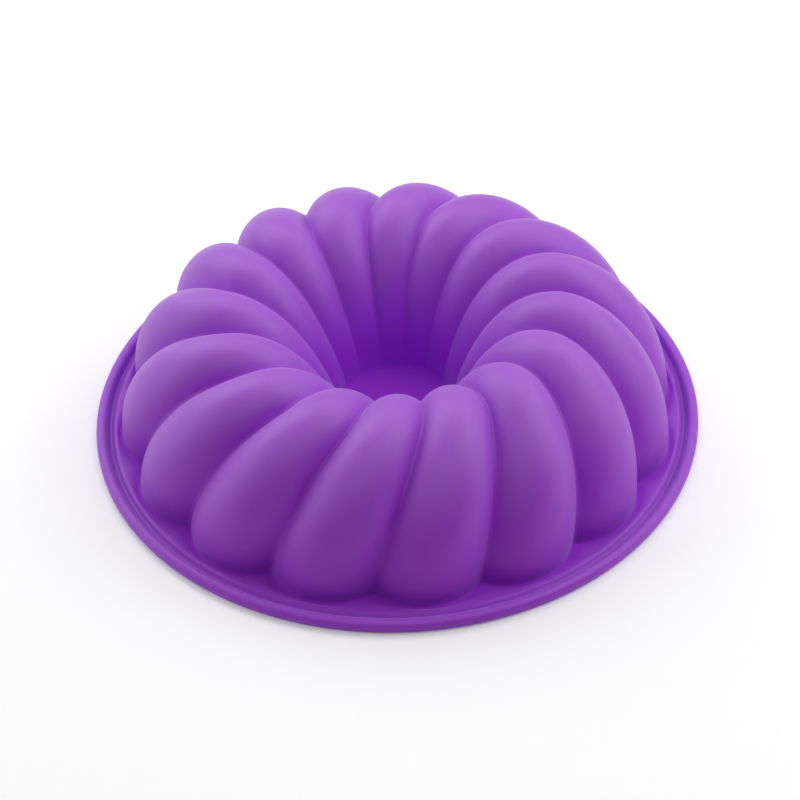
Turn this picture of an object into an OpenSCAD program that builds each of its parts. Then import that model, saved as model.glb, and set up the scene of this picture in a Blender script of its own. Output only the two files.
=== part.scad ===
// Silicone kugelhopf mould, turned rim down as it cools or dries.
// One moulding: sixteen swirled lobes round a central well, a flat flange and a rounded rim bead.
// The wall is one closed skin. It is lofted through rings of points that start at the middle of the
// well's floor, climb the well, cross the crown, come down to the flange, pass round the rim bead
// and go back along the inside.
// Millimetres, +Z up, origin at the centre of the rim on the surface that the rim lies on.

/* [Rim and flange] */
// Diameter over the rim bead
rim_d = 250; // [246:1:280]
// Height of the rim bead
bead_h = 5.3; // [4.6:0.1:7]
// Width of the rim bead
bead_w = 5; // [3.6:0.2:6]
// Thickness of the flange between the lobes and the bead
flange_t = 2.5; // [1.8:0.1:3]
// Distance from the bead to the middle of the soft ridge on the flange
ridge_gap = 3.4; // [2.6:0.1:4]
// Height of the ridge above the flange
ridge_h = 0.9; // [0.3:0.1:1.4]
// Depth of the groove between the ridge and the bead
groove_depth = 0.4; // [0.2:0.1:1]
// Radius under the outside of the bead
bead_foot = 2; // [0.8:0.1:2]

/* [Body] */
// Height over the crown
height = 60.4; // [50:0.1:75]
// Diameter over the crests of the lobes at the flange
foot_d = 228; // [215:1:229]
// Diameter of the circle that the crown follows
crown_d = 136.4; // [128:0.2:144]
// How high the outside wall climbs before it bends, as a share of the shoulder's height
shoulder_rise = 0.57; // [0.45:0.01:0.7]
// How far the crown keeps level on its outer side, as a share of the shoulder's width
crown_reach = 0.49; // [0.4:0.01:0.6]
// Radius of the fillet between the lobes and the flange
foot_fillet = 0.9; // [0.6:0.1:2]

/* [Well] */
// Diameter of the central well at the foot of its wall
well_d = 49; // [43:0.5:53]
// Height of the well's closed floor
floor_z = 3; // [2.6:0.1:6]
// Radius of the fillet round the well's floor
floor_fillet = 4; // [3:0.5:6]
// How high the wall of the well climbs before it flares, as a share of the well's height
throat_rise = 0.06; // [0.02:0.01:0.3]

/* [Lobes] */
// Number of lobes
lobes = 16; // [14:1:17]
// Bulge of a lobe as a share of its width, at the flange
foot_bulge = 0.18; // [0.1:0.01:0.22]
// Bulge on the outside shoulder
shoulder_bulge = 0.22; // [0.12:0.01:0.28]
// Bulge on the crown
crown_bulge = 0.3; // [0.2:0.01:0.34]
// Bulge in the throat of the well
throat_bulge = 0.17; // [0.1:0.01:0.34]
// Bulge at the floor of the well
floor_bulge = 0.05; // [0.03:0.01:0.14]

/* [Swirl] */
// Direction of the front lobe in the throat of the well, degrees from +X
front_lobe_angle = -88; // [-100:0.1:-80]
// Turn of the lobes from the throat to the crown
crown_turn = 5.2; // [0:0.1:7]
// Turn of the lobes from the crown to the outside shoulder
shoulder_turn = 7.9; // [0:0.1:10]
// Turn of the lobes from the shoulder to the flange
foot_turn = 6.2; // [0:0.1:9]

/* [Wall] */
// Thickness of the silicone wall
wall = 2; // [1.4:0.1:2.4]
// Radius on the inside edge of the mouth
mouth_round = 1.2; // [0.6:0.1:1.6]

/* [Hidden] */

silicone = [0.50, 0.25, 0.68];

// Points across one lobe, and round the whole ring
lobe_steps = 8;
ring_steps = lobes * lobe_steps;
// Rings up the shoulder and down the well, and how much further apart they stand at the well's foot
shoulder_rings = 7;
well_rings = 7;
well_spread = 0.18;
// Sharpness of the valleys: the higher, the tighter their rounding
valley_sharpness = 40;
// How much closer the points stand at the valleys than on the crests
valley_crowding = 0.25;
// Angles at which rings stand on the bead, from its inner side over the top, and on a small fillet
bead_angles = [150, 100, 50, 0];
fillet_angles = [45, 90];
floor_angles = [0, 45];
// Where the ridge's outer slope flattens, as shares of its distance from the bead and of its height
slope_gap_share = 0.5;
slope_height_share = 0.2;
// Part of a full turn that one step round the ring takes
step_angle = 360 / ring_steps;
// Small step along the crest line, for the slope of the lobes
reach = 0.004;

rim_r = rim_d / 2;
foot_r = foot_d / 2;
crown_r = crown_d / 2;
well_r = well_d / 2;
well_foot_z = floor_z + floor_fillet;
foot_z = flange_t + foot_fillet;

// Value at place t, from 0 to 1, on a smooth curve through evenly spaced stations
function through(stations, t) =
    let (
        last = len(stations) - 1,
        i = min(floor(t * last), last - 1),
        f = t * last - i,
        before = stations[max(i - 1, 0)],
        from = stations[i],
        to = stations[i + 1],
        after = stations[min(i + 2, last)]
    )
    from + f / 2 * (to - before
        + f * (2 * before - 5 * from + 4 * to - after
        + f * (3 * from - before - 3 * to + after)));

// Place t runs from 0 at the flange over 0.5 at the crown to 1 at the floor of the well
places = concat(
    [for (k = [0:shoulder_rings]) 0.5 * k / shoulder_rings],
    [for (k = [1:well_rings])
        let (u = k / well_rings)
        0.5 + 0.5 * u * (1 - well_spread * (1 - pow(u, 3)))]
);
last_place = len(places) - 1;
bulges = [foot_bulge, shoulder_bulge, crown_bulge, throat_bulge, floor_bulge];
turns = [crown_turn + shoulder_turn + foot_turn, crown_turn + shoulder_turn, crown_turn, 0, 0];

function bulge(t) = through(bulges, t);
function swirl(t) = front_lobe_angle - through(turns, t);

// Smooth curve from p[0] to p[3] that leaves towards p[1] and arrives from p[2], and its direction
function curve(p, s) =
    pow(1 - s, 3) * p[0] + 3 * pow(1 - s, 2) * s * p[1] + 3 * (1 - s) * s * s * p[2] + pow(s, 3) * p[3];
function curve_slope(p, s) =
    pow(1 - s, 2) * (p[1] - p[0]) + 2 * (1 - s) * s * (p[2] - p[1]) + s * s * (p[3] - p[2]);

// Crest line of a lobe as [radius, height]: one curve up the shoulder and one up the well. The crown
// keeps level further on the outer side than on the inner by as much as gives it one curvature.
shoulder_bend = (1 - shoulder_rise) * (height - foot_z);
well_bend = (1 - throat_rise) * (height - well_foot_z);
outer_reach = crown_reach * (foot_r - crown_r);
inner_reach = outer_reach * sqrt(well_bend / shoulder_bend);
crown = [crown_r, height];
shoulder = [[foot_r, foot_z], [foot_r, height - shoulder_bend], crown + [outer_reach, 0], crown];
well = [[well_r, well_foot_z], [well_r, height - well_bend], crown - [inner_reach, 0], crown];
function crest(t) = t < 0.5 ? curve(shoulder, 2 * t) : curve(well, 2 * (1 - t));

// Outward direction of the crest line, square to it
function crest_normal(t) =
    let (along = t < 0.5 ? curve_slope(shoulder, 2 * t) : -curve_slope(well, 2 * (1 - t)))
    [along[1], -along[0]] / norm(along);

// Places of the points across a lobe, from -1 to 1, closer together towards the valleys
function across(k) =
    let (v = 2 * k / lobe_steps - 1)
    v * (1 + valley_crowding * (1 - v * v));

// Depth below the crest at place u across a lobe: a round arc with a rounded valley at each side
function lobe_drop(r, share, u) =
    let (
        half = PI * r / lobes,
        rise = 2 * share * half,
        arc_r = (half * half + rise * rise) / (2 * rise),
        eased = u - sign(u) * pow(abs(u), valley_sharpness + 1) / (valley_sharpness + 1)
    )
    arc_r - sqrt(arc_r * arc_r - pow(eased * half, 2));

function polar(r, angle, z) = [r * cos(angle), r * sin(angle), z];
// Direction of point i of a ring that is turned by the given angle
function lobed_angle(i, turn) =
    turn + (floor(i / lobe_steps) + across(i % lobe_steps) / 2) * 360 / lobes;

// Outside surface of the lobes at place t and point i
function lobed_point(t, i) =
    let (
        c = crest(t),
        n = crest_normal(t),
        drop = lobe_drop(c[0], bulge(t), across(i % lobe_steps))
    )
    polar(c[0] - n[0] * drop, lobed_angle(i, swirl(t)), c[1] - n[1] * drop);

// Square to the lobed surface, pointing out of the silicone
function lobed_normal(t, i) =
    let (
        up = lobed_point(min(t + reach, 1), i) - lobed_point(max(t - reach, 0), i),
        round = lobed_point(t, (i + 1) % ring_steps) - lobed_point(t, (i + ring_steps - 1) % ring_steps),
        n = cross(round, up)
    )
    n / norm(n);

// Rings of the lobed surface: the outside, and the inside one wall further in
function outside_ring(t) = [for (i = [0:ring_steps - 1]) lobed_point(t, i)];
function inside_ring(t) =
    [for (i = [0:ring_steps - 1]) lobed_point(t, i) - wall * lobed_normal(t, i)];

// Ring that follows the foot of the lobes, moved out by a distance, at height z
function foot_ring(out, z) =
    [for (i = [0:ring_steps - 1])
        let (
            p = lobed_point(0, i),
            n = lobed_normal(0, i),
            level = [n[0], n[1], 0] / norm([n[0], n[1]])
        )
        [p[0], p[1], z] + out * level];

// Plain ring, with its points turned to face the ring that it joins
function round_ring(r, z, turn) =
    let (start = round((turn - 180 / lobes) / step_angle) * step_angle)
    [for (i = [0:ring_steps - 1]) polar(r, start + i * step_angle, z)];
function rim_ring(p) = round_ring(p[0], p[1], swirl(0));

// Floor of the well: a flat disc with a fillet up to the wall, above and below
floor_r = well_r - floor_fillet;
function floor_rings(thickness) =
    let (bend = floor_fillet + thickness)
    [for (angle = floor_angles)
        let (
            grow = (floor_r + bend * sin(angle)) / well_r,
            z = well_foot_z - bend * cos(angle)
        )
        [for (p = outside_ring(1)) [p[0] * grow, p[1] * grow, z]]];

// Section of the flange and the rim bead as [radius, height], from the lobes outwards and under
bead_inner_r = rim_r - bead_w;
bead_half = bead_w / 2;
function bead_point(angle) =
    [rim_r - bead_half * (1 - cos(angle)), bead_h - bead_half * (1 - sin(angle))];
function bead_foot_point(angle) =
    [rim_r - bead_foot * (1 - cos(angle)), bead_foot * (1 - sin(angle))];
rim_section = concat(
    [
        [bead_inner_r - ridge_gap, flange_t + ridge_h],
        [bead_inner_r - ridge_gap * slope_gap_share, flange_t + ridge_h * slope_height_share],
        [bead_inner_r, flange_t - groove_depth]
    ],
    [for (angle = bead_angles) bead_point(angle)],
    [for (angle = fillet_angles) bead_foot_point(angle)]
);

module mould() {
    // Rings from the top of the floor over the crown and round the rim to the mouth
    outside = concat(
        floor_rings(0),
        [for (k = [last_place:-1:0]) outside_ring(places[k])],
        [for (angle = fillet_angles)
            foot_ring(foot_fillet * (1 - cos(angle)), foot_z - foot_fillet * sin(angle))],
        [for (p = rim_section) rim_ring(p)]
    );
    // Rings from the mouth up the inside of the lobes and down round the well
    inside = concat(
        [foot_ring(mouth_round - wall, 0), foot_ring(-wall, mouth_round)],
        [for (k = [1:last_place]) inside_ring(places[k])]
    );
    under = floor_rings(wall);
    rings = concat(outside, inside, [for (k = [len(under) - 1:-1:0]) under[k]]);

    points = concat(
        [[0, 0, floor_z]],
        [for (ring = rings) for (p = ring) p],
        [[0, 0, floor_z - wall]]
    );
    end = len(points) - 1;
    function at(ring, i) = 1 + ring * ring_steps + i % ring_steps;
    // Two triangles from four corners, split along the shorter diagonal
    function split(a, b, c, d) =
        norm(points[a] - points[c]) <= norm(points[b] - points[d])
        ? [[a, b, c], [a, c, d]]
        : [[a, b, d], [b, c, d]];
    last = len(rings) - 1;
    faces = concat(
        [for (i = [0:ring_steps - 1]) [0, at(0, i + 1), at(0, i)]],
        [for (k = [0:last - 1]) for (i = [0:ring_steps - 1])
            each split(at(k, i), at(k, i + 1), at(k + 1, i + 1), at(k + 1, i))],
        [for (i = [0:ring_steps - 1]) [end, at(last, i), at(last, i + 1)]]
    );
    color(silicone)
        polyhedron(points, faces);
}

mould();
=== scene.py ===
# %% [markdown]
# A silicone kugelhopf mould, turned rim down
#
# The real mould is one skin of coloured silicone, pressed hot between two halves of a tool. Sixteen
# fat lobes swirl round a central well, and a flat flange with a rounded bead goes round the foot.
# This lesson draws half of the skin's section, lets a Geometry Nodes tree turn it into the whole
# mould, gives it the satin look of baking silicone and lights it as a product on a white table.

# %% Load the frame
import math

import bpy
from mathutils import Matrix, Vector


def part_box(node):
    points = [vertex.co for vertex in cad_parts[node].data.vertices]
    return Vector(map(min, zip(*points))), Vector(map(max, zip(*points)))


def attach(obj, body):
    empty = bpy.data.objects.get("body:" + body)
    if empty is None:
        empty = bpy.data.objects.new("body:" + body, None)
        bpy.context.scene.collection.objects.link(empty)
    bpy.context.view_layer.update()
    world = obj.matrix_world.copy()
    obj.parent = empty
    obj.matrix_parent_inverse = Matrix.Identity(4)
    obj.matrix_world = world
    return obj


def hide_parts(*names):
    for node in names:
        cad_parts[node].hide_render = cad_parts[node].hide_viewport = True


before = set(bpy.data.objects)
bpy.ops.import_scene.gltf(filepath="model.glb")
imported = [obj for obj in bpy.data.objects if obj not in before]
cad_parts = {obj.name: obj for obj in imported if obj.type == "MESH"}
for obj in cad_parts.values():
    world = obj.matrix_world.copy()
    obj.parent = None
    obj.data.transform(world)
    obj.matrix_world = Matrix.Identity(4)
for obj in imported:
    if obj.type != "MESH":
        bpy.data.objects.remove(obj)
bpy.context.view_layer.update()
MM = 0.001
low, high = (Vector(corner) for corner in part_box("mould"))
rim_radius = (high.x - low.x) / 2 / MM
crown_height = high.z / MM
print(f"The frame's mould has a rim of {2 * rim_radius:.1f} mm and stands {crown_height:.1f} mm high")

# %% [markdown]
# The section
#
# A moulder's drawing shows the skin cut through the crest of one lobe. It starts in the middle of the
# well's floor, climbs the well, crosses the crown, comes down the outside to the flange, goes round
# the rim bead and returns along the inside. Every point of that line becomes one ring of the mould,
# so the line is all that has to be drawn. The sizes are millimetres.
#
# The two long bends are smooth curves with a handle at each end, as a drawing program has them. One
# climbs the shoulder and one climbs the well, and their handles at the crown are matched so that the
# bend doesn't change suddenly there. A highlight that crosses the crown then has no kink.

# %% Sizes of the section
foot_radius = 114.0
crown_radius = 68.2
well_radius = 24.5
floor_height = 3.0
floor_fillet = 4.0
shoulder_rise = 0.57
crown_reach = 0.49
throat_rise = 0.06
flange_thickness = 2.5
foot_fillet = 0.9
wall = 2.0
mouth_round = 1.2
bead_width = 5.0
bead_height = 5.3
bead_foot = 2.0
ridge_height = 0.9
ridge_gap = 3.4
groove_depth = 0.4

foot_height = flange_thickness + foot_fillet
well_foot_height = floor_height + floor_fillet
floor_radius = well_radius - floor_fillet
ridge_radius = rim_radius - bead_width - ridge_gap
shoulder_bend = (1 - shoulder_rise) * (crown_height - foot_height)
well_bend = (1 - throat_rise) * (crown_height - well_foot_height)
outer_reach = crown_reach * (foot_radius - crown_radius)
inner_reach = outer_reach * math.sqrt(well_bend / shoulder_bend)
SHOULDER = [(foot_radius, foot_height), (foot_radius, crown_height - shoulder_bend),
            (crown_radius + outer_reach, crown_height), (crown_radius, crown_height)]
WELL = [(well_radius, well_foot_height), (well_radius, crown_height - well_bend),
        (crown_radius - inner_reach, crown_height), (crown_radius, crown_height)]


def curve(ends, s):
    """Point on a smooth curve that leaves towards its first handle and arrives from its second"""
    shares = (1 - s) ** 3, 3 * (1 - s) ** 2 * s, 3 * (1 - s) * s ** 2, s ** 3
    return tuple(sum(w * p[i] for w, p in zip(shares, ends)) for i in (0, 1))


def curve_direction(ends, s):
    """Direction of the curve at the same place"""
    shares = (1 - s) ** 2, 2 * (1 - s) * s, s ** 2
    return tuple(sum(w * (q[i] - p[i]) for w, p, q in zip(shares, ends, ends[1:])) for i in (0, 1))


# %% [markdown]
# How the lobes change along the section
#
# A lobe swells from the flange to the crown, flattens again on its way down the well and is almost
# gone at the floor. It also turns clockwise as it runs outwards. Both are set at five stations,
# evenly spaced from the flange (0) over the crown (0.5) to the floor of the well (1), and a smooth
# curve runs through them.

# %% Bulge and turn of the lobes
lobe_count = 16
BULGE = [0.18, 0.22, 0.30, 0.17, 0.05]
front_lobe = -88.0
TURN = [-19.3, -13.1, -5.2, 0.0, 0.0]


def through(stations, place):
    """Value of a smooth curve through evenly spaced stations, at a place from 0 to 1"""
    last = len(stations) - 1
    i = min(int(place * last), last - 1)
    f = place * last - i
    before, start = stations[max(i - 1, 0)], stations[i]
    end, after = stations[i + 1], stations[min(i + 2, last)]
    cubic = 3 * start - before - 3 * end + after
    square = 2 * before - 5 * start + 4 * end - after
    return start + f / 2 * (end - before + f * (square + f * cubic))


def crest(place):
    """Radius and height of the lobes' crest line"""
    return curve(SHOULDER, 2 * place) if place < 0.5 else curve(WELL, 2 * (1 - place))


def crest_normal(place):
    """Direction square to the crest line, out of the mould"""
    r, z = curve_direction(SHOULDER, 2 * place) if place < 0.5 else curve_direction(WELL, 2 * (1 - place))
    length = math.hypot(r, z) * (1 if place < 0.5 else -1)
    return z / length, -r / length


print("Crest line at five places:", [tuple(round(v, 1) for v in crest(p / 4)) for p in range(5)])

# %% [markdown]
# The list of rings
#
# Each ring carries what the tree needs to know: where the crest is, which way is out, how far the
# lobes bulge and turn there, how strongly they are pressed (1 on the lobes, 0 on the plain rim), how
# far the ring is set in from the outside skin, and how deep it lies in a crease. The creases are the
# corner where the lobes meet the flange and the floor of the well with the corner round it.

# %% Draw the section ring by ring
rings = []
foot_reach = 1.0
floor_reach = 6.0
full_share = 0.8


def crease(radius, height):
    """1 at the foot of the lobes and on the floor of the well, and 0 at one reach beyond the full share"""
    to_foot = math.dist((radius, height), (foot_radius, flange_thickness)) / foot_reach
    to_floor = math.dist((radius, height), (min(radius, floor_radius), floor_height)) / floor_reach
    return min(1.0, max(0.0, 1 + full_share - min(to_foot, to_floor)))


def ring(radius, height, out=(0.0, 1.0), place=0.0, press=0.0, inset=0.0):
    """Adds one ring of the skin"""
    rings.append({
        "at": (radius, height), "out": out, "bulge": through(BULGE, place),
        "turn": math.radians(front_lobe + through(TURN, place)), "press": press, "inset": inset,
        "crease": crease(radius, height),
    })


def lobed_ring(place, inset=0.0):
    """Adds a ring on the lobes"""
    ring(*crest(place), crest_normal(place), place, 1.0, inset)


def floor_rings(thickness, steps, upwards):
    """Adds the flat floor of the well and the fillet up to the wall, or back down"""
    bend = floor_fillet + thickness
    share = [(floor_radius * k / 5, 0.0) for k in range(6)]
    share += [(floor_radius, 90 * (k + 1) / steps) for k in range(steps - 1)]
    for radius, angle in share if upwards else reversed(share):
        a = math.radians(angle)
        press = 1.0 if angle else (radius / floor_radius) ** 3
        height = well_foot_height - bend * math.cos(a)
        ring(radius + bend * math.sin(a), height, (-1.0, 0.0), 1.0, press)


well_steps, shoulder_steps, inside_steps = 52, 60, 34
floor_rings(0.0, 8, True)
for k in range(well_steps + 1):
    lobed_ring(1 - 0.5 * k / well_steps)
for k in range(1, shoulder_steps + 1):
    lobed_ring(0.5 - 0.5 * k / shoulder_steps)
for k in range(1, 7):
    a = math.radians(15 * k)
    ring(foot_radius, foot_height - foot_fillet * math.sin(a), (1.0, 0.0), 0.0, 1.0,
         -foot_fillet * (1 - math.cos(a)))
outside_rings = len(rings)
print(f"{outside_rings} rings from the middle of the well's floor to the flange")

# %% Flange, bead and underside
for k in range(1, 9):
    fade = k / 8
    ring(foot_radius + (ridge_radius - foot_radius) * fade,
         flange_thickness + ridge_height * fade ** 2 * (3 - 2 * fade),
         (1.0, 0.0), 0.0, 1 - fade, -foot_fillet * (1 - fade))
ridge_top = flange_thickness + ridge_height
groove_bottom = flange_thickness - groove_depth
bead_inside = rim_radius - bead_width
bead_half = bead_width / 2
INTO_GROOVE = [(ridge_radius, ridge_top), (ridge_radius + 1.3, ridge_top),
               (bead_inside - 2.1, groove_bottom), (bead_inside - 0.8, groove_bottom)]
OUT_OF_GROOVE = [(bead_inside - 0.8, groove_bottom), (bead_inside - 0.1, groove_bottom),
                 (bead_inside - 0.05, groove_bottom + 0.6), (bead_inside, bead_height - bead_half)]
for k in range(1, 9):
    ring(*curve(INTO_GROOVE, k / 8))
for k in range(1, 6):
    ring(*curve(OUT_OF_GROOVE, k / 6))
for k in range(19):
    a = math.radians(180 - 10 * k)
    ring(rim_radius - bead_half * (1 - math.cos(a)), bead_height - bead_half * (1 - math.sin(a)))
for k in range(9):
    a = math.radians(90 * k / 8)
    ring(rim_radius - bead_foot * (1 - math.cos(a)), bead_foot * (1 - math.sin(a)))
for k in range(1, 6):
    fade = k / 6
    underside = rim_radius - bead_foot
    ring(underside + (foot_radius - underside) * fade, 0.0, (1.0, 0.0), 0.0, fade,
         (wall - mouth_round) * fade)
print(f"{len(rings) - outside_rings} rings round the flange and the bead")

# %% Inside of the lobes and underside of the floor
for k in range(6):
    a = math.radians(18 * k)
    ring(foot_radius, mouth_round * (1 - math.cos(a)), (1.0, 0.0), 0.0, 1.0,
         wall - mouth_round * (1 - math.sin(a)))
for k in range(inside_steps + 1):
    lobed_ring(0.5 * k / inside_steps, wall)
for k in range(1, inside_steps + 1):
    lobed_ring(0.5 + 0.5 * k / inside_steps, wall)
floor_rings(wall, 5, False)
print(f"{len(rings)} rings in all")

section = bpy.data.meshes.new("mould_section")
section.from_pydata([(r["at"][0] * MM, 0, r["at"][1] * MM) for r in rings], [], [])
for name, kind in (("out", "FLOAT_VECTOR"), ("lobe", "FLOAT_VECTOR"),
                   ("inset", "FLOAT"), ("crease", "FLOAT")):
    section.attributes.new(name, kind, "POINT")
for k, r in enumerate(rings):
    section.attributes["out"].data[k].vector = (r["out"][0], 0, r["out"][1])
    section.attributes["lobe"].data[k].vector = (r["bulge"], r["turn"], r["press"])
    section.attributes["inset"].data[k].value = r["inset"] * MM
    section.attributes["crease"].data[k].value = r["crease"]
mould = bpy.data.objects.new("mould_skin", section)
bpy.context.scene.collection.objects.link(mould)

# %% [markdown]
# The tree that turns the section into the mould
#
# The shape follows one rule all the way round, so Geometry Nodes build it. The tree lays out a flat
# grid with one row for each ring and one column for each step round the mould. Each grid point looks
# up its ring, works out where it is across its lobe, drops from the crest along a round arc, moves in
# by the wall where the ring is on the inside, and is turned to its place round the axis. The seam and
# the two poles are then merged, so the skin is closed. The tree also stores how deep each point lies
# in a valley or a crease, for the material to read.

# %% Node tools


def add(tree, kind, settings=None, values=None, links=None):
    """Adds a node, with its settings, the values of its inputs and the sockets linked to them"""
    node = tree.nodes.new(kind)
    for name, value in (settings or {}).items():
        setattr(node, name, value)
    for socket, value in (values or {}).items():
        node.inputs[socket].default_value = value
    for socket, source in (links or {}).items():
        tree.links.new(source, node.inputs[socket])
    return node


def calculate(tree, operation, *terms):
    """Output of a Math node whose terms are numbers or sockets"""
    values = {i: t for i, t in enumerate(terms) if isinstance(t, (int, float))}
    links = {i: t for i, t in enumerate(terms) if not isinstance(t, (int, float))}
    return add(tree, "ShaderNodeMath", {"operation": operation}, values, links).outputs[0]


# %% Tree: inputs and the grid
steps_across = 20
valley_sharpness = 40.0
merge_distance = 0.02 * MM
tree = bpy.data.node_groups.new("Swirled mould from its section", "GeometryNodeTree")
sockets = tree.interface
sockets.new_socket("Section", in_out="INPUT", socket_type="NodeSocketGeometry")
inputs = {}
for name, kind, value in (
    ("Lobes", "NodeSocketInt", lobe_count),
    ("Steps across a lobe", "NodeSocketInt", steps_across),
    ("Valley sharpness", "NodeSocketFloat", valley_sharpness),
    ("Merge distance", "NodeSocketFloat", merge_distance),
):
    inputs[name] = sockets.new_socket(name, in_out="INPUT", socket_type=kind)
    inputs[name].default_value = value
inputs["Silicone"] = sockets.new_socket("Silicone", in_out="INPUT", socket_type="NodeSocketMaterial")
sockets.new_socket("Mould", in_out="OUTPUT", socket_type="NodeSocketGeometry")

given = add(tree, "NodeGroupInput").outputs
size = add(tree, "GeometryNodeAttributeDomainSize", links={"Geometry": given["Section"]})
columns = calculate(tree, "MULTIPLY", given["Lobes"], given["Steps across a lobe"])
columns_closed = calculate(tree, "ADD", columns, 1)
grid = add(tree, "GeometryNodeMeshGrid", values={"Size X": 1.0, "Size Y": 1.0},
           links={"Vertices X": size.outputs["Point Count"], "Vertices Y": columns_closed})
index = add(tree, "GeometryNodeInputIndex").outputs[0]
row = calculate(tree, "FLOOR", calculate(tree, "DIVIDE", calculate(tree, "ADD", index, 0.5), columns_closed))
column = calculate(tree, "SUBTRACT", index, calculate(tree, "MULTIPLY", row, columns_closed))

# %% Tree: look up the ring


def of_ring(kind, value):
    """A value of the section's point that this grid row stands for"""
    found = add(tree, "GeometryNodeSampleIndex", {"data_type": kind, "domain": "POINT"},
                links={"Geometry": given["Section"], "Value": value, "Index": row})
    return found.outputs["Value"]


def attribute(kind, name):
    """Named attribute of the section"""
    named = add(tree, "GeometryNodeInputNamedAttribute", {"data_type": kind}, {"Name": name})
    return named.outputs["Attribute"]


def parts(vector):
    """The three numbers of a vector"""
    return add(tree, "ShaderNodeSeparateXYZ", links={0: vector}).outputs


at = parts(of_ring("FLOAT_VECTOR", add(tree, "GeometryNodeInputPosition").outputs[0]))
out = parts(of_ring("FLOAT_VECTOR", attribute("FLOAT_VECTOR", "out")))
bulge, turn, press = parts(of_ring("FLOAT_VECTOR", attribute("FLOAT_VECTOR", "lobe")))
inset = of_ring("FLOAT", attribute("FLOAT", "inset"))
in_crease = of_ring("FLOAT", attribute("FLOAT", "crease"))
radius, height = at["X"], at["Z"]

# %% Tree: place across the lobe, from -1 in one valley to 1 in the next
lobe_place = calculate(tree, "DIVIDE", column, given["Steps across a lobe"])
lobe_number = calculate(tree, "FLOOR", calculate(tree, "ADD", lobe_place, 0.001))
even = calculate(tree, "MULTIPLY_ADD", calculate(tree, "SUBTRACT", lobe_place, lobe_number), 2, -1)
# Columns crowd towards the valleys, where the skin bends most
squeeze = calculate(tree, "MULTIPLY_ADD", calculate(tree, "MULTIPLY", even, even), -0.25, 1.25)
across = calculate(tree, "MULTIPLY", even, squeeze)
steep = calculate(tree, "POWER", calculate(tree, "ABSOLUTE", across), given["Valley sharpness"])
sharp_more = calculate(tree, "ADD", given["Valley sharpness"], 1)
eased = calculate(tree, "MULTIPLY", across,
                  calculate(tree, "SUBTRACT", 1, calculate(tree, "DIVIDE", steep, sharp_more)))

# %% Tree: drop from the crest along a round arc
half = calculate(tree, "DIVIDE", calculate(tree, "MULTIPLY", radius, math.pi), given["Lobes"])
# The middle of the floor has no width, which the next lines would divide by
half_safe = calculate(tree, "MAXIMUM", half, 0.0001)
rise = calculate(tree, "MULTIPLY", calculate(tree, "MULTIPLY", half_safe, 2), bulge)
squares = calculate(tree, "ADD", calculate(tree, "MULTIPLY", half_safe, half_safe),
                    calculate(tree, "MULTIPLY", rise, rise))
arc = calculate(tree, "DIVIDE", squares, calculate(tree, "MULTIPLY", rise, 2))
side = calculate(tree, "MULTIPLY", eased, half_safe)
arc_height = calculate(tree, "SQRT", calculate(tree, "SUBTRACT", calculate(tree, "MULTIPLY", arc, arc),
                                               calculate(tree, "MULTIPLY", side, side)))
drop = calculate(tree, "MULTIPLY", calculate(tree, "SUBTRACT", arc, arc_height), press)
slope = calculate(tree, "MULTIPLY", calculate(tree, "DIVIDE", side, arc_height),
                  calculate(tree, "SUBTRACT", 1, steep))

# %% Tree: move in by the wall, square to the lobe's arc
lean = calculate(tree, "SQRT", calculate(tree, "MULTIPLY_ADD", slope, slope, 1))
level_in = calculate(tree, "DIVIDE", inset, lean)
sideways = calculate(tree, "MULTIPLY", calculate(tree, "MULTIPLY", level_in, slope), -1)
down = calculate(tree, "ADD", drop, level_in)
ring_radius = calculate(tree, "SUBTRACT", radius, calculate(tree, "MULTIPLY", out["X"], down))
ring_height = calculate(tree, "SUBTRACT", height, calculate(tree, "MULTIPLY", out["Z"], down))
angle_round = calculate(tree, "DIVIDE", calculate(tree, "MULTIPLY_ADD", across, 0.5, lobe_number),
                        given["Lobes"])
angle = calculate(tree, "MULTIPLY_ADD", angle_round, 2 * math.pi, turn)
unturned = add(tree, "ShaderNodeCombineXYZ", links={0: ring_radius, 1: sideways, 2: ring_height})
placed = add(tree, "ShaderNodeVectorRotate", {"rotation_type": "Z_AXIS"},
             links={"Vector": unturned.outputs[0], "Angle": angle})

# %% Tree: place the points, close the skin and hand it over
# The valley and crease values stored here are where the material paints shade
valley = calculate(tree, "MULTIPLY", calculate(tree, "ABSOLUTE", across), press)
moved = add(tree, "GeometryNodeSetPosition",
            links={"Geometry": grid.outputs["Mesh"], "Position": placed.outputs[0]})
marked = moved
for name, value in (("valley", valley), ("crease", in_crease)):
    marked = add(tree, "GeometryNodeStoreNamedAttribute", {"data_type": "FLOAT", "domain": "POINT"},
                 {"Name": name}, {"Geometry": marked.outputs[0], "Value": value})
closed = add(tree, "GeometryNodeMergeByDistance",
             links={"Geometry": marked.outputs[0], "Distance": given["Merge distance"]})
smooth = add(tree, "GeometryNodeSetShadeSmooth", links={"Geometry": closed.outputs[0]})
real = add(tree, "GeometryNodeRealizeInstances", links={"Geometry": smooth.outputs[0]})
finished = add(tree, "GeometryNodeSetMaterial",
               links={"Geometry": real.outputs[0], "Material": given["Silicone"]})
add(tree, "NodeGroupOutput", links={"Mould": finished.outputs[0]})
print(f"The tree has {len(tree.nodes)} nodes")

# %% [markdown]
# The silicone
#
# Baking silicone is platinum-cured rubber with pigment all through it. Its skin copies the fine
# blasted grain of the steel tool, so it shines only softly. Red and blue light soak in a few
# millimetres and come back out further on, while the pigment stops green light at once. So the lit
# sides pass some of their red and blue on, and the shaded valleys stay a deep clean purple.

# %% Material: platinum-cured silicone, pressed in a blasted tool


def linear(hex_colour):
    """Linear colour with alpha from an sRGB hex value such as #7f40ad"""
    channels = [int(hex_colour[i:i + 2], 16) / 255 for i in (1, 3, 5)]
    return tuple(c / 12.92 if c <= 0.04045 else ((c + 0.055) / 1.055) ** 2.4 for c in channels) + (1.0,)


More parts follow.
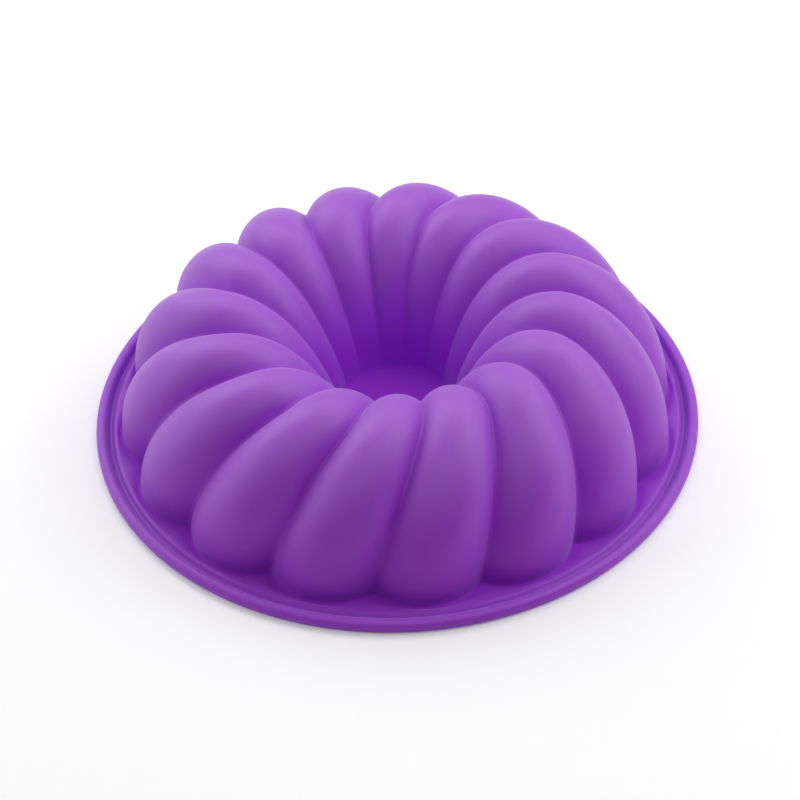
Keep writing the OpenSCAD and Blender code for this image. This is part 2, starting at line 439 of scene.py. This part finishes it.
silicone = bpy.data.materials.new("moulded_silicone_purple")
silicone.use_nodes = True
skin = silicone.node_tree
skin.nodes.clear()
coordinates = add(skin, "ShaderNodeTexCoord").outputs
place = coordinates["Object"]
# Pigment is milled into the rubber, never quite evenly, so the colour drifts very slightly over 40 mm
drift = add(skin, "ShaderNodeTexNoise", values={"Scale": 1 / 0.040, "Detail": 2.0, "Roughness": 0.5},
            links={"Vector": place})
pigment = add(skin, "ShaderNodeMix", {"data_type": "RGBA"}, {6: linear("#9408c8"), 7: linear("#9a0acf")},
              {"Factor": drift.outputs["Fac"]})

# %% [markdown]
# The bloom, partly dust and partly painted light and shade
#
# Silicone holds on to fine dust and to a trace of its own oil, and both show as a pale, frosty lilac
# film. One picture can't tell how much of the paleness is film and how much is soft light, so both
# were tuned until the render's colours came close to the photograph's. So this film is partly dust
# and partly painted light and shade. It is palest on what faces up and on what stands high, which is
# painted light from the lamps above, and a little paler on the bead, which is a painted highlight. It
# is taken away down in the outside valleys, in the crease at the lobes' foot and on the floor of the
# well, which is painted shade there. So the film is mixed over the pigment by height, by how far the
# surface faces up, by the distance from the middle of the foot, and by the valley and crease values
# that the tree stored on the mesh. Each term is a share of film, so 0.07 hides 7 per cent of the
# pigment's colour.

# %% Material: the bloom, partly dust and partly painted light and shade
facing_up = add(skin, "ShaderNodeSeparateXYZ", links={0: coordinates["Normal"]}).outputs["Z"]
level = add(skin, "ShaderNodeSeparateXYZ", links={0: place}).outputs["Z"]
# Film and painted light: paler from just above the flange to the crown, where the lamps above light the top
# most
film_and_light_by_height = add(skin, "ShaderNodeMapRange", {"interpolation_type": "SMOOTHSTEP"},
             {"From Min": 5 * MM, "From Max": 60 * MM, "To Min": -0.035, "To Max": 0.07},
             {"Value": level}).outputs["Result"]
valley_seen = add(skin, "ShaderNodeAttribute", {"attribute_name": "valley"}).outputs["Fac"]
crease_seen = add(skin, "ShaderNodeAttribute", {"attribute_name": "crease"}).outputs["Fac"]
from_middle = add(skin, "ShaderNodeVectorMath", {"operation": "LENGTH"}, links={0: place}).outputs["Value"]
# Painted shade: the valleys outside lose the film and turn darker, and those in the well keep it
outside = add(skin, "ShaderNodeMapRange", values={"From Min": 45 * MM, "From Max": 80 * MM, "To Min": 0.1},
              links={"Value": from_middle}).outputs["Result"]
hollow = calculate(skin, "MULTIPLY", calculate(skin, "POWER", valley_seen, 5.0), outside)
# Painted shade in the outside valleys, in the crease at the lobes' foot and on the floor of the well
shade_mask = calculate(skin, "MAXIMUM", hollow, crease_seen)
painted_shade = calculate(skin, "MULTIPLY", shade_mask, -0.08)
# Painted highlight: the bead a little paler. Only the bead lies this far out
painted_bead_highlight = add(skin, "ShaderNodeMapRange", links={"Value": from_middle}, values={
    "From Min": 119.5 * MM, "From Max": 121 * MM, "To Max": 0.03}).outputs["Result"]
# Film and painted light: paler where the surface faces up towards the lamps above, plus the height and bead
# terms
upward = calculate(skin, "MAXIMUM", facing_up, 0.0)
film_and_light_from_above = calculate(skin, "ADD", calculate(skin, "MULTIPLY_ADD", upward, 0.095, film_and_light_by_height), painted_bead_highlight)
patches = add(skin, "ShaderNodeTexNoise", values={"Scale": 1 / 0.012, "Detail": 4.0, "Roughness": 0.6},
              links={"Vector": place})
uneven = add(skin, "ShaderNodeMapRange", values={"To Min": 0.85, "To Max": 1.15},
             links={"Value": patches.outputs["Fac"]}).outputs["Result"]
# The share of film over the pigment: dust, painted light from above and painted shade in the hollows
dust_and_painted_light = add(skin, "ShaderNodeMath", {"operation": "MULTIPLY", "use_clamp": True},
            links={0: calculate(skin, "ADD", film_and_light_from_above, painted_shade), 1: uneven})
colour = add(skin, "ShaderNodeMix", {"data_type": "RGBA"}, {7: linear("#ccb8e3")},
             {"Factor": dust_and_painted_light.outputs[0], 6: pigment.outputs[2]})

# %% Material: shine and grain
# The soft satin of blasted silicone: the sheen is the light that its fine grain catches at the edges.
# Handling leaves patches a few millimetres wide that are a touch smoother
gloss = add(skin, "ShaderNodeMapRange", values={"To Min": 0.45, "To Max": 0.55},
            links={"Value": patches.outputs["Fac"]})
# Rougher in the creases, where the shine would draw a bright line that the photograph doesn't show
roughness = calculate(skin, "MULTIPLY_ADD", crease_seen, 0.30, gloss.outputs["Result"])
# The tool's blasted grain is about 0.2 mm, drawn at 0.6 mm so that it shows at all
grain = add(skin, "ShaderNodeTexNoise", values={"Scale": 1 / 0.0006, "Detail": 2.0, "Roughness": 0.6},
            links={"Vector": place})
relief = add(skin, "ShaderNodeBump", values={"Strength": 0.12, "Distance": 0.00003},
             links={"Height": grain.outputs["Fac"]})
body = add(skin, "ShaderNodeBsdfPrincipled", values={
    "IOR": 1.41, "Specular IOR Level": 0.8, "Subsurface Weight": 0.35, "Subsurface Radius": (1.0, 0.2, 1.0),
    "Subsurface Scale": 0.004, "Sheen Weight": 0.28, "Sheen Roughness": 0.50,
}, links={"Base Color": colour.outputs[2], "Roughness": roughness, "Normal": relief.outputs[0]})
add(skin, "ShaderNodeOutputMaterial", links={"Surface": body.outputs[0]})

# %% Run the tree and keep its result as a plain mesh
modifier = mould.modifiers.new("Loft", "NODES")
modifier.node_group = tree
modifier[inputs["Lobes"].identifier] = lobe_count
modifier[inputs["Steps across a lobe"].identifier] = steps_across
modifier[inputs["Valley sharpness"].identifier] = valley_sharpness
modifier[inputs["Merge distance"].identifier] = merge_distance
modifier[inputs["Silicone"].identifier] = silicone
evaluated = mould.evaluated_get(bpy.context.evaluated_depsgraph_get())
skin_mesh = bpy.data.meshes.new_from_object(evaluated)
mould.modifiers.clear()
mould.data = skin_mesh
bpy.data.meshes.remove(section)
triangles = sum(len(p.vertices) - 2 for p in skin_mesh.polygons)
tops = [max(v.co[i] for v in skin_mesh.vertices) / MM for i in range(3)]
print(f"The mould's skin has {len(skin_mesh.vertices)} points and {triangles} triangles")
print(f"It reaches {tops[0]:.2f} mm and {tops[1]:.2f} mm from the axis and {tops[2]:.2f} mm up")

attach(mould, "root")
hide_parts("mould")

# %% [markdown]
# Table, light and camera
#
# Product photographs of silicone are taken on white, inside a ring of large soft lights. The strongest
# ones here stand behind the mould to its left and high on its right, and only two weak ones help from
# the camera's side. So the lobes are bright on top and along their outer sides, and dark in the
# valleys and low at the front. Every lamp is a round panel nearly a metre across, so no shadow has a
# hard edge. Their powers were found by fitting renders with one lamp each to the photograph.
#
# The lamps light the table near the mould, so it would turn grey further out. A studio's white sweep
# is lit by lamps of its own. Here the table simply looks white to the camera beyond the mould's
# shadow, and that white sends no light on to the mould.

# %% The white table
bpy.ops.mesh.primitive_plane_add(size=6, location=(0, 0, 0))
table = bpy.context.object
table.name = "table"
paper = bpy.data.materials.new("white_table")
paper.use_nodes = True
sheet = paper.node_tree
sheet.nodes.clear()
matt = add(sheet, "ShaderNodeBsdfDiffuse", values={"Color": linear("#f4f4f4")})
lift = add(sheet, "ShaderNodeEmission", values={"Color": (1, 1, 1, 1), "Strength": 0.17})
camera_ray = add(sheet, "ShaderNodeLightPath").outputs["Is Camera Ray"]
lift_seen = add(sheet, "ShaderNodeMixShader", links={0: camera_ray, 2: lift.outputs[0]})
near = add(sheet, "ShaderNodeAddShader", links={0: matt.outputs[0], 1: lift_seen.outputs[0]})
on_table = add(sheet, "ShaderNodeTexCoord").outputs["Object"]
from_mould = add(sheet, "ShaderNodeVectorMath", {"operation": "LENGTH"}, links={0: on_table})
beyond = add(sheet, "ShaderNodeMapRange", {"interpolation_type": "SMOOTHSTEP"},
             {"From Min": 0.18, "From Max": 0.55}, {"Value": from_mould.outputs["Value"]})
far = add(sheet, "ShaderNodeEmission", values={"Color": (1, 1, 1, 1), "Strength": 1.0})
far_seen = calculate(sheet, "MULTIPLY", camera_ray, beyond.outputs["Result"])
sweep = add(sheet, "ShaderNodeMixShader", links={0: far_seen, 1: near.outputs[0], 2: far.outputs[0]})
add(sheet, "ShaderNodeOutputMaterial", links={"Surface": sweep.outputs[0]})
table.data.materials.append(paper)

# %% Lamps
panel_width = 0.9
panel_distance = 1.1
aim = Vector((0, 0, 0.03))


def soft_panel(name, azimuth, elevation, watts):
    """A round soft light that faces the mould from a direction given in degrees"""
    data = bpy.data.lights.new(name, "AREA")
    data.shape = "DISK"
    data.size = panel_width
    data.energy = watts
    panel = bpy.data.objects.new(name, data)
    round_by, up_by = math.radians(azimuth), math.radians(elevation)
    flat = math.cos(up_by)
    away = Vector((flat * math.cos(round_by), flat * math.sin(round_by), math.sin(up_by)))
    panel.location = aim + panel_distance * away
    panel.rotation_euler = away.to_track_quat("Z", "Y").to_euler()
    bpy.context.scene.collection.objects.link(panel)


soft_panel("back", 90, 55, 3.3)
soft_panel("back_left", 135, 35, 4.7)
soft_panel("left", 180, 15, 2.9)
soft_panel("back_right", 45, 35, 2.5)
soft_panel("right_high", 0, 50, 4.2)
soft_panel("right_low", 0, 15, 2.6)
soft_panel("front", -90, 60, 1.9)
soft_panel("front_left", -135, 40, 0.9)

world = bpy.data.worlds.new("white_room")
bpy.context.scene.world = world
world.use_nodes = True
room = world.node_tree
room.nodes.clear()
air = add(room, "ShaderNodeBackground", values={"Color": (1, 1, 1, 1), "Strength": 0.01})
backdrop = add(room, "ShaderNodeBackground", values={"Color": (1, 1, 1, 1), "Strength": 1.0})
ray = add(room, "ShaderNodeLightPath")
either = add(room, "ShaderNodeMixShader",
             links={0: ray.outputs["Is Camera Ray"], 1: air.outputs[0], 2: backdrop.outputs[0]})
add(room, "ShaderNodeOutputWorld", links={"Surface": either.outputs[0]})

# %% Camera at the photograph's angle
view_height = math.radians(42.03)
view_distance = 0.9064
# Small turns of the camera off the line to the rim's centre, found from the rim's outline
raise_view = math.radians(0.313)
turn_right = math.radians(0.092)
roll = math.radians(-1.988)
pixels_per_tangent = 2166.6
image_width = 800
sensor_width = 36.0

toward = Vector((0, math.cos(view_height), -math.sin(view_height)))
right = Vector((1, 0, 0))
up = right.cross(toward)
toward, up = (math.cos(raise_view) * toward + math.sin(raise_view) * up,
              math.cos(raise_view) * up - math.sin(raise_view) * toward)
toward, right = (math.cos(turn_right) * toward + math.sin(turn_right) * right,
                 math.cos(turn_right) * right - math.sin(turn_right) * toward)
right, up = (math.cos(roll) * right + math.sin(roll) * up,
             math.cos(roll) * up - math.sin(roll) * right)
eye = Vector((0, -math.cos(view_height), math.sin(view_height))) * view_distance
camera_data = bpy.data.cameras.new("camera")
camera_data.sensor_width = sensor_width
camera_data.lens = sensor_width * pixels_per_tangent / image_width
camera_data.clip_end = 20
camera = bpy.data.objects.new("camera", camera_data)
camera.matrix_world = Matrix.Translation(eye) @ Matrix((right, up, -toward)).transposed().to_4x4()
bpy.context.scene.collection.objects.link(camera)
bpy.context.scene.camera = camera
bpy.context.scene.view_settings.view_transform = "Standard"
